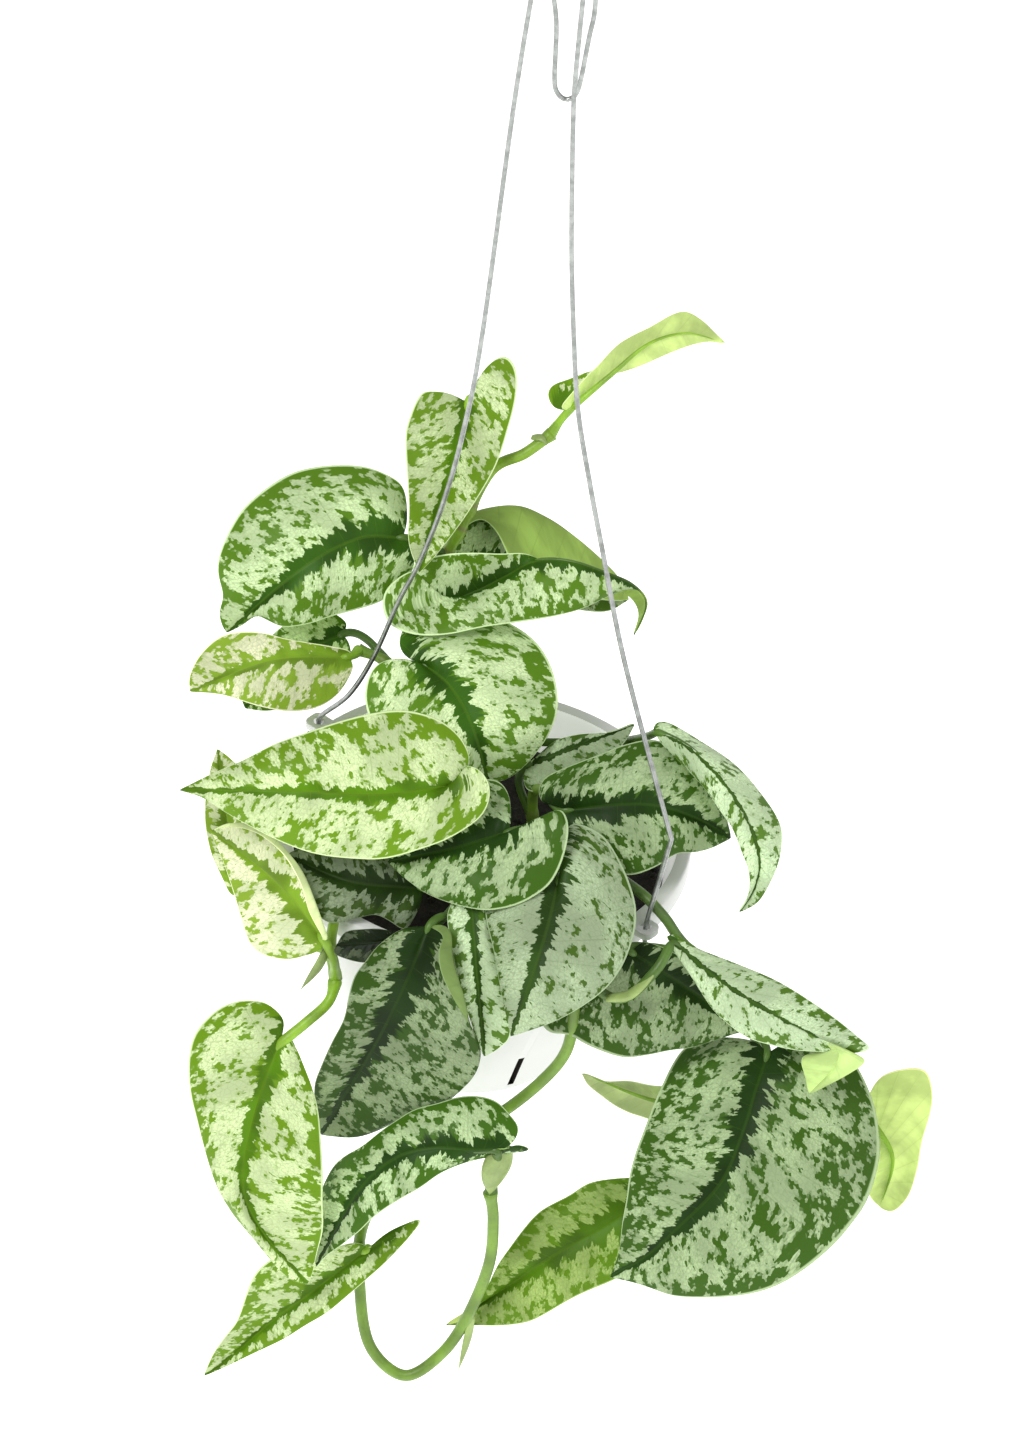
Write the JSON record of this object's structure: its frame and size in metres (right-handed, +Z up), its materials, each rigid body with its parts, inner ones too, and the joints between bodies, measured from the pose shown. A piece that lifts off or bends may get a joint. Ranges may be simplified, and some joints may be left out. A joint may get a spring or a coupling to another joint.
{
  "type": "satin pothos in a hanging pot",
  "caption": "Trailing satin pothos with heart-shaped silver-mottled leaves on looping vines, potted in a round hanging pot with a wire hanger that hooks over a rail.",
  "frame": {"origin": "inside top of the hanger's hook, where it rests on a rail or ceiling hook", "axes": "+Z up along the line of hang, -Y towards the side where the leaves face the light, +X to the right seen from that side"},
  "size_m": [0.28, 0.2256, 0.5826],
  "materials": {
    "pot": "smooth white moulded plastic",
    "soil": "dark loose peat",
    "wire": "galvanised wire",
    "vine": "smooth green stem",
    "leaf": "satin leaf, dark green with silver patches"
  },
  "bodies": {
    "root": {"pot": "pot", "soil": "soil", "hanger_wire": "wire", "vine_upper": "vine", "vine_left": "vine", "vine_left_trailing": "vine", "vine_front": "vine", "vine_long": "vine", "vine_right": "vine", "vine_right_trailing": "vine", "leaf_01": "leaf", "leaf_02": "leaf", "leaf_03": "leaf", "leaf_04": "leaf", "leaf_05": "leaf", "leaf_06": "leaf", "leaf_07": "leaf", "leaf_08": "leaf", "leaf_09": "leaf", "leaf_10": "leaf", "leaf_11": "leaf", "leaf_12": "leaf", "leaf_13": "leaf", "leaf_14": "leaf", "leaf_15": "leaf", "leaf_16": "leaf", "leaf_17": "leaf", "leaf_18": "leaf", "leaf_19": "leaf", "leaf_20": "leaf", "leaf_21": "leaf", "leaf_22": "leaf", "leaf_23": "leaf", "leaf_24": "leaf", "leaf_25": "leaf", "leaf_26": "leaf", "leaf_27": "leaf", "leaf_28": "leaf", "leaf_29": "leaf"}
  },
  "joints": []
}
